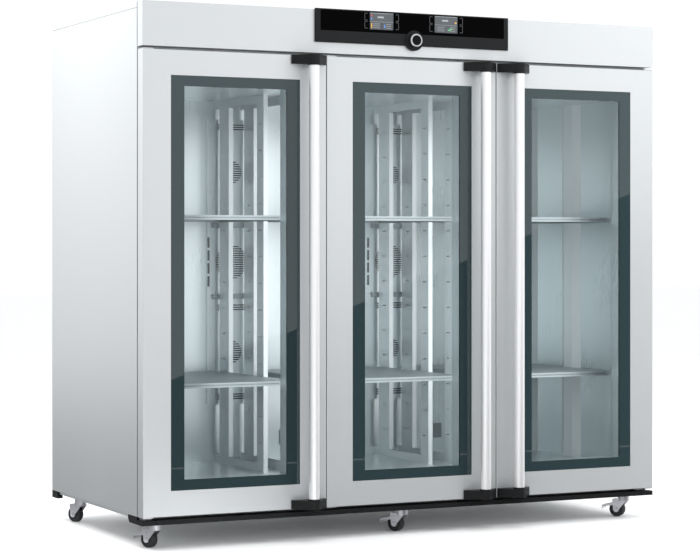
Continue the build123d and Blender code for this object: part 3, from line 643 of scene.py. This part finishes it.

# %% [markdown]
# Behind the small grilles and the outlets of the air duct the space is dark. Dull black
# sheets stand just in front of the back wall there as painted shade, so that each louvre
# reads as a slot. A folded rail crosses the duct above and below each large grille: a flat
# bar with a lip on its upper edge. Four upright slots stand in a column beside each large
# grille. They are too shallow to be cut, so each is a thin dark grey plate with softened
# edges, and its colour is painted shade for the inside of the slot.

# %% Air duct fittings
DUCT_FRONT = duct_low.y
FAN_COLUMNS = (-0.3595, 0.3595)
SMALL_GRILLE_LEVELS = (0.651, 1.377)
OUTLET_LEVELS = (0.471, 0.831, 1.190, 1.559)
RAIL_LEVELS = (0.872, 1.158)
SHADE_DEPTH = 0.002
SHADE_Y = duct_high.y - SHADE_DEPTH
SLOT_LEVEL, SLOT_PITCH, SLOT_COUNT = 0.937, 0.052, 4
# Flat black sheets: painted shade for the dark space behind the louvres.
shade_black = moulded("shade_black", (0.004, 0.005, 0.005), 0.8, gloss=0.1)


def slab(middle, size, round_over):
    """A block with its edges rounded."""
    block = start("cube", "slab", size=1, location=middle)
    block.scale = size
    settle(block)
    soften(block, round_over, 1)
    return block


shades, rails, side_slots = [], [], []
for column in FAN_COLUMNS:
    for level in SMALL_GRILLE_LEVELS:
        shade = start(
            "cylinder",
            "shade",
            vertices=32,
            radius=0.050,
            depth=SHADE_DEPTH,
            location=(column, SHADE_Y, level),
            rotation=TO_FRONT,
        )
        settle(shade)
        soften(shade, 0.0004, 1)
        shades.append(shade)
    for level in OUTLET_LEVELS:
        shades.append(slab((column, SHADE_Y, level), (0.130, SHADE_DEPTH, 0.030), 0.0004))
    for level in RAIL_LEVELS:
        bar_middle = (column, DUCT_FRONT - 0.005, level)
        lip_middle = (column, DUCT_FRONT - 0.009, level + 0.009)
        rails.append(slab(bar_middle, (0.172, 0.010, 0.012), 0.0015))
        rails.append(slab(lip_middle, (0.172, 0.002, 0.010), 0.0006))
    for step in range(SLOT_COUNT):
        middle = (column - 0.1005, DUCT_FRONT - 0.0002, SLOT_LEVEL + SLOT_PITCH * step)
        side_slots.append(slab(middle, (0.009, 0.0004, 0.042), 0.0001))
dress(joined(shades, "duct_shades"), "cabinet", shade_black)
dress(joined(rails, "duct_rails"), "cabinet", shaded_shelf_steel)
# Dark grey plates: painted shade for the inside of the upright slots.
slot_shade_grey = moulded("slot_shade_grey", (0.070, 0.082, 0.086), 0.6)
dress(joined(side_slots, "duct_side_slots"), "cabinet", slot_shade_grey)
print("duct shades", len(shades), "rails", len(rails), "slots", len(side_slots))

# %% [markdown]
# The shelves are perforated sheet. Along each front flange runs a row of small holes. Real
# holes would cost thousands of cuts that no view shows, and a pattern in the material would
# slide on a thin edge. So each hole is a shallow disc with an inset rim, dark as painted
# shade for the inside of the hole, and an array repeats it along the shelf.

# %% Shelf perforation
HOLE_PITCH = 0.010
HOLE_RADIUS = 0.0028
SHELF_TOPS = (0.578, 1.192)
shelf_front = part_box("shelves")[0].y
# Dark discs: painted shade for the inside of each hole.
hole_shade_dark = moulded("hole_shade_dark", (0.030, 0.034, 0.036), 0.7)
bay_ends = [(-0.955, -0.435), (-0.285, 0.285), (0.435, 0.955)]
rows = []
for shelf_top in SHELF_TOPS:
    for first, last in bay_ends:
        dimple = start(
            "cylinder",
            "dimple",
            vertices=8,
            radius=HOLE_RADIUS,
            depth=0.0003,
            location=(first, shelf_front - 0.0001, shelf_top - 0.0085),
            rotation=TO_FRONT,
        )
        pick_faces(dimple, top_face)
        bpy.ops.mesh.inset(thickness=0.0005)
        leave_edit()
        settle(dimple)
        repeat = dimple.modifiers.new("row", "ARRAY")
        repeat.use_relative_offset = False
        repeat.use_constant_offset = True
        repeat.constant_offset_displace = (HOLE_PITCH, 0, 0)
        repeat.count = int((last - first) / HOLE_PITCH)
        bpy.ops.object.modifier_apply(modifier=repeat.name)
        rows.append(dimple)
shelf_holes = joined(rows, "shelf_holes")
dress(shelf_holes, "cabinet", hole_shade_dark)
print("faces of the shelf holes", len(shelf_holes.data.polygons))

# %% [markdown]
# The screens show plain panels and bars. Each is a thin bevelled bar that stands on the
# screen, behind the glass, with a weak glow of its own. Three layers, each one bar deep,
# keep the marks from lying in one plane. A pair of brackets at each side marks the touch
# keys, and these are printed on the front of the glass.

# %% Screens and key marks
GLASS_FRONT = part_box("control_glass")[0].y
SCREEN_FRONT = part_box("display_screens")[0].y


def glow(name, colour, strength):
    """A lit finish, a little uneven as a screen is."""
    finish = Finish(name, Roughness=0.3)
    grain = finish.noise(600.0)
    bright = finish.between(grain, darker(colour, 0.85), colour)
    finish.set(Base_Color=bright, Emission_Color=bright, Emission_Strength=strength)
    return finish.material


def bars(name, boxes, front, depth, material):
    """Thin bars on a front plane, each given by its middle and size in X and Z."""
    parts = []
    for x, z, width, height in boxes:
        bar = start("cube", "bar", size=1, location=(x, front - depth / 2, z))
        bar.scale = (width, depth, height)
        settle(bar)
        soften(bar, min(width, height) * 0.2, 1)
        parts.append(bar)
    return dress(joined(parts, name), "cabinet", material)


SCREEN_Z = 1.9125
SCREEN_COLUMNS = (-0.1365, 0.1365)
BAR_DEPTH = 0.0003
TEXT_ROW_PITCH = 0.007
pale_glow = glow("pale_glow", (0.30, 0.32, 0.33), 0.25)
tile_glow = glow("tile_glow", (0.055, 0.060, 0.066), 0.5)
tile_boxes, line_boxes = [], []
for middle in SCREEN_COLUMNS:
    tile_boxes += [
        (middle, SCREEN_Z + 0.0135, 0.094, 0.029),
        (middle - 0.0240, SCREEN_Z - 0.0170, 0.045, 0.027),
        (middle + 0.0240, SCREEN_Z - 0.0170, 0.045, 0.027),
    ]
    line_boxes += [
        (middle, SCREEN_Z + 0.0295, 0.094, 0.0016),
        (middle, SCREEN_Z - 0.0018, 0.094, 0.0010),
        (middle - 0.004, SCREEN_Z + 0.0150, 0.026, 0.0060),
    ]
    for row in range(3):
        row_z = SCREEN_Z - 0.010 - TEXT_ROW_PITCH * row
        line_boxes.append((middle - 0.022, row_z, 0.030, 0.0012))
        line_boxes.append((middle + 0.028, row_z, 0.022, 0.0012))
bars("screen_tiles", tile_boxes, SCREEN_FRONT, BAR_DEPTH, tile_glow)
bars("screen_lines", line_boxes, SCREEN_FRONT - BAR_DEPTH, BAR_DEPTH, pale_glow)
MARK_X = -0.1785
colour_boxes = {
    "red": (
        (0.60, 0.08, 0.06),
        [(MARK_X, SCREEN_Z + 0.020, 0.004, 0.008)],
    ),
    "blue": (
        (0.10, 0.25, 0.70),
        [
            (MARK_X, SCREEN_Z + 0.009, 0.004, 0.008),
            (-0.124, SCREEN_Z - 0.018, 0.0035, 0.013),
        ],
    ),
    "amber": (
        (0.65, 0.35, 0.05),
        [
            (MARK_X, SCREEN_Z - 0.017, 0.004, 0.018),
            (0.178, SCREEN_Z + 0.008, 0.007, 0.006),
        ],
    ),
    "green": (
        (0.12, 0.50, 0.20),
        [
            (0.150, SCREEN_Z - 0.020, 0.012, 0.004),
            (0.158, SCREEN_Z - 0.015, 0.010, 0.003),
        ],
    ),
}
MARKS_FRONT = SCREEN_FRONT - 2 * BAR_DEPTH
for colour_name, (colour, places) in colour_boxes.items():
    lit = glow(f"{colour_name}_glow", colour, 0.15)
    bars(f"screen_{colour_name}_marks", places, MARKS_FRONT, BAR_DEPTH, lit)

print_grey = moulded("print_grey", (0.085, 0.088, 0.092), 0.5, gloss=0.1)
MARK_WIDTH = 0.0014
BRACKET_ARM = 0.012
BRACKET_FROM_SCREEN = 0.0705
bracket_boxes = []
for middle in SCREEN_COLUMNS:
    for side in (-1, 1):
        spine = middle + side * BRACKET_FROM_SCREEN
        arm_x = spine - side * BRACKET_ARM / 2
        for key_z in (SCREEN_Z + 0.0150, SCREEN_Z - 0.0150):
            bracket_boxes.append((spine, key_z, MARK_WIDTH, 0.024))
            for end in (-1, 1):
                bracket_boxes.append((arm_x, key_z + end * 0.0125, BRACKET_ARM, MARK_WIDTH))
bars("key_brackets", bracket_boxes, GLASS_FRONT, 0.0001, print_grey)
print("bars", len(tile_boxes) + len(line_boxes), "brackets", len(bracket_boxes))

# %% [markdown]
# Each castor's axle ends in a domed nut on both sides of its fork. The nut is a six-sided
# prism whose outer face is inset and drawn out twice, which makes the dome in few faces. It
# rides on the fork, not on the wheel, because the axle doesn't turn.


# %% Castor nuts
def domed_nut(radius, height):
    nut = start(
        "cylinder",
        "nut",
        vertices=6,
        radius=radius,
        depth=height,
        location=(0, 0, height / 2),
    )
    pick_faces(nut, top_face)
    for rise in (0.5, 0.2):
        bpy.ops.mesh.inset(thickness=radius * 0.25)
        draw_out(height * rise)
    leave_edit()
    soften(nut, radius * 0.06)
    return settle(nut)


def turn_to(direction):
    """The turn that points a nut along a direction."""
    return direction.to_track_quat("Z", "Y").to_euler()


joint_of = {joint["name"]: joint for joint in frame["joints"]}
AXLE_END = 0.0185
NUT_RADIUS, NUT_HEIGHT = 0.0085, 0.0045
castors = 0
for row in ("front", "rear"):
    for column in DOORS:
        castor = f"castor_{row}_{column}"
        roll = joint_of[f"{castor}_roll"]
        axle = Vector(roll["axis"]).normalized()
        hub = Vector(roll["pos_m"])
        ends = [hub + axle * AXLE_END, hub - axle * AXLE_END]
        turns = [turn_to(axle), turn_to(-axle)]
        nuts = spread(domed_nut(NUT_RADIUS, NUT_HEIGHT), f"{castor}_nuts", ends, turns)
        dress(nuts, f"{castor}_fork", zinc_steel)
        castors += 1
print("castors with nuts", castors)

# %% [markdown]
# The studio: a pale floor that runs out of sight under an even white surround, so the
# chamber stands on white. A dark flag lies on the floor at the left and shades that side
# from top to bottom. It is hidden from the camera, and seen from below it is clear.


# %% Floor and surround
def plain_mesh(name, corners, faces):
    mesh = bpy.data.meshes.new(name)
    mesh.from_pydata(corners, [], faces)
    piece = bpy.data.objects.new(name, mesh)
    bpy.context.scene.collection.objects.link(piece)
    return piece


def rectangle(name, finish, corners):
    piece = plain_mesh(name, corners, [(0, 1, 2, 3)])
    paint(piece, finish.material)
    return piece


floor_finish = Finish("floor", Base_Color=(0.95, 0.95, 0.95), Roughness=0.6)
rectangle("floor", floor_finish, [(-40, -40, 0), (40, -40, 0), (40, 40, 0), (-40, 40, 0)])

SURROUND_COLOUR = (0.99, 1.0, 1.01, 1)
SURROUND_STRENGTH = 1.04
world = bpy.data.worlds.new("surround")
bpy.context.scene.world = world
world.use_nodes = True
background = world.node_tree.nodes["Background"]
background.inputs["Color"].default_value = SURROUND_COLOUR
background.inputs["Strength"].default_value = SURROUND_STRENGTH

# %% The flag
FLAG_LEFT, FLAG_RIGHT, FLAG_NEAR, FLAG_FAR, FLAG_UP = -5.0, -1.12, -1.6, 6.0, 0.004

flag_finish = Finish("flag", Base_Color=(0.10, 0.10, 0.10), Roughness=0.9)
underside = flag_finish.add("ShaderNodeNewGeometry", {}, output="Backfacing")
dark_side = Wire(flag_finish, flag_finish.shader.outputs["BSDF"])
see_through = flag_finish.add("ShaderNodeBsdfTransparent", {})
one_sided = flag_finish.add("ShaderNodeMixShader", {}, underside, dark_side, see_through)
flag_finish.plug(one_sided, flag_finish.output.inputs["Surface"])
flag = rectangle(
    "flag",
    flag_finish,
    [
        (FLAG_LEFT, FLAG_NEAR, FLAG_UP),
        (FLAG_RIGHT, FLAG_NEAR, FLAG_UP),
        (FLAG_RIGHT, FLAG_FAR, FLAG_UP),
        (FLAG_LEFT, FLAG_FAR, FLAG_UP),
    ],
)
flag.visible_camera = False
flag.visible_shadow = False
print("flag from", FLAG_LEFT, "to", FLAG_RIGHT)

# %% [markdown]
# Two tall cards stand to the right, out of view, one light and one dark. Their slanting join
# is what crosses the door glass as a reflection, so they are seen only in reflections and
# light nothing. The dark one goes on along the floor up to the doors, so that the glass
# reflects no bright floor at its foot.


# %% Cards
CARD_Y = -3.0
CARD_LEFT, CARD_RIGHT, CARD_TOP = -0.35, 3.4, 3.2
CARD_FOOT = 0.01
JOIN_LEFT, JOIN_RIGHT = 0.302, 1.617
FLOOR_CARD_END, FLOOR_CARD_UP = -0.56, 0.005
LIGHT_CARD_GLOW, DARK_CARD_GLOW = 1.15, 0.06


def reflected_card(name, corners, strength):
    finish = Finish(
        name, Base_Color=(0, 0, 0), Emission_Color=(1, 1, 1), Emission_Strength=strength
    )
    card = rectangle(name, finish, corners)
    card.visible_camera = False
    card.visible_diffuse = False
    card.visible_shadow = False
    card.visible_transmission = False
    print(name, "glows", strength)


def upright(*corners):
    return [(x, CARD_Y, z) for x, z in corners]


join = [(CARD_LEFT, JOIN_LEFT), (CARD_RIGHT, JOIN_RIGHT)]
card_top = [(CARD_RIGHT, CARD_TOP), (CARD_LEFT, CARD_TOP)]
card_foot = [(CARD_LEFT, CARD_FOOT), (CARD_RIGHT, CARD_FOOT)]
reflected_card("light_card", upright(*join, *card_top), LIGHT_CARD_GLOW)
reflected_card("grey_card", upright(*card_foot, *reversed(join)), DARK_CARD_GLOW)
reflected_card(
    "floor_card",
    [
        (CARD_LEFT, CARD_Y, FLOOR_CARD_UP),
        (CARD_RIGHT, CARD_Y, FLOOR_CARD_UP),
        (CARD_RIGHT, FLOOR_CARD_END, FLOOR_CARD_UP),
        (CARD_LEFT, FLOOR_CARD_END, FLOOR_CARD_UP),
    ],
    DARK_CARD_GLOW,
)

# %% [markdown]
# Three soft lights stay outside: one large one overhead, one that grades the left side from
# its top, and one at the right for the last door. A wide light just behind the doors
# stands for the lamps of the chamber, and it alone may show as a gleam on the steel inside.


# %% Soft lights
def soft_light(name, place, target, size, power):
    light = bpy.data.lights.new(name, "AREA")
    light.shape = "RECTANGLE"
    light.size, light.size_y = size
    light.energy = power
    lamp = bpy.data.objects.new(name, light)
    bpy.context.scene.collection.objects.link(lamp)
    lamp.location = place
    aim = Vector(target) - Vector(place)
    lamp.rotation_euler = aim.to_track_quat("-Z", "Y").to_euler()
    lamp.visible_camera = False
    lamp.visible_glossy = False
    return lamp


CHAMBER_X, CHAMBER_Z = 0.05, 0.93
soft_light("top_light", place=(0, -1.0, 5.5), target=(0, 0, 0), size=(5.0, 4.0), power=160)
soft_light(
    "side_light", place=(-2.3, 0.1, 2.9), target=(-1.1, 0.1, 1.7), size=(0.6, 1.4), power=75
)
soft_light(
    "right_light", place=(2.9, -3.0, 2.6), target=(0.95, -0.5, 1.4), size=(1.2, 1.2), power=90
)
chamber_light = soft_light(
    "chamber_light",
    place=(CHAMBER_X, -0.395, CHAMBER_Z),
    target=(CHAMBER_X, 0.4, CHAMBER_Z),
    size=(1.6, 1.25),
    power=8.5,
)
chamber_light.visible_glossy = True
bpy.context.scene.view_settings.view_transform = "Standard"
print("lights", [light.name for light in bpy.data.lights])

# %% [markdown]
# The camera stands at the photograph's place, level, and its lens shift puts the horizon
# above the middle of the picture.

# %% Camera
CAMERA_PLACE = (-3.7616, -7.5422, 1.0795)
CAMERA_TURN = -26.345
camera_data = bpy.data.cameras.new("camera")
camera_data.lens = 109.87
camera_data.sensor_width = 36.0
camera_data.shift_y = -0.0488
camera = bpy.data.objects.new("camera", camera_data)
bpy.context.scene.collection.objects.link(camera)
camera.location = CAMERA_PLACE
camera.rotation_euler = (math.radians(90), 0, math.radians(CAMERA_TURN))
bpy.context.scene.camera = camera
print("camera at", CAMERA_PLACE, "with a lens of", camera_data.lens)
